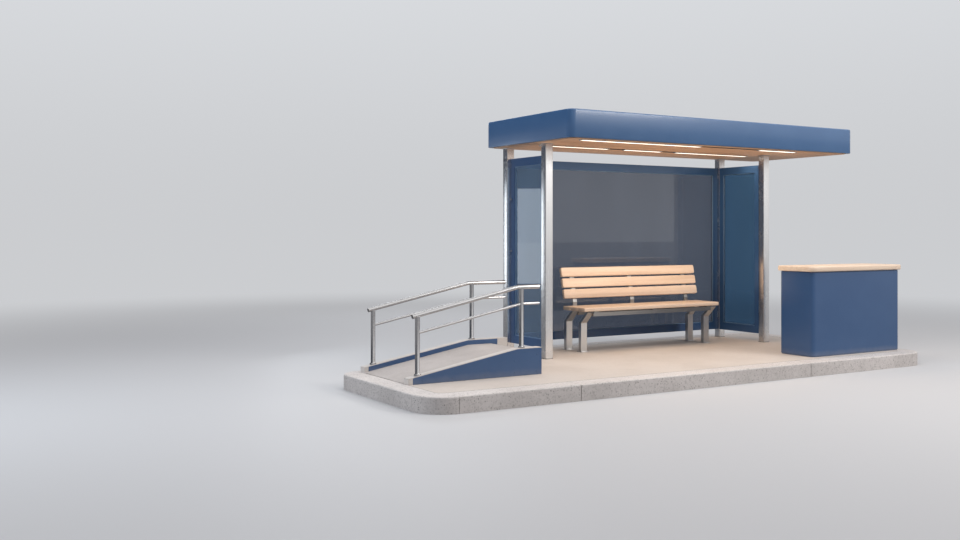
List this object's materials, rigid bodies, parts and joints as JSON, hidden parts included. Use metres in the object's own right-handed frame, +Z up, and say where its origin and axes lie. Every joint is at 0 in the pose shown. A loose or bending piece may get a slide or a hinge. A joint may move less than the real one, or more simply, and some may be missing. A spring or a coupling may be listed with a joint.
{
  "type": "bus shelter",
  "caption": "Open-fronted bus shelter with flat roof and glazed panels on a raised concrete island with ramp, handrails, bench and counter.",
  "frame": {"origin": "bottom centre of the concrete island's bounding box, on the ground", "axes": "+X along the open front to the right as seen from the front, +Y to the back, +Z up"},
  "size_m": [6.68, 2.88, 2.85],
  "materials": {
    "paving": "smooth warm beige concrete paving",
    "concrete": "light grey cast concrete with fine speckles and pits",
    "blue_paint": "satin blue powder coat",
    "steel": "brushed stainless steel",
    "galvanised": "dull galvanised steel",
    "glass": "clear glass with a blue-grey tint",
    "timber": "pale oiled timber with fine grain",
    "light": "opal light diffuser, warm white"
  },
  "bodies": {
    "root": {"floor_slab": "paving", "kerb_front": "concrete", "kerb_back": "concrete", "kerb_sides": "concrete", "kerb_corners": "concrete", "ramp_deck": "paving", "ramp_kerb_front": "concrete", "ramp_kerb_back": "concrete", "ramp_plates_outer": "blue_paint", "ramp_plates_inner": "blue_paint", "handrail_front_top": "steel", "handrail_front_middle": "steel", "handrail_front_posts": "steel", "handrail_back_top": "steel", "handrail_back_middle": "steel", "handrail_back_posts": "steel", "post_front_left": "steel", "post_front_right": "steel", "post_back_left": "steel", "post_back_right": "steel", "left_frame": "blue_paint", "right_frame": "blue_paint", "back_frame": "blue_paint", "left_glass": "glass", "right_glass": "glass", "back_glass": "glass", "roof_shell": "blue_paint", "roof_beams": "galvanised", "ceiling": "timber", "lights_front": "light", "lights_back": "light", "bench_seat": "timber", "bench_back": "timber", "bench_straps": "steel", "bench_beams": "steel", "bench_legs": "steel", "counter_body": "blue_paint", "counter_top": "timber"}
  },
  "joints": []
}
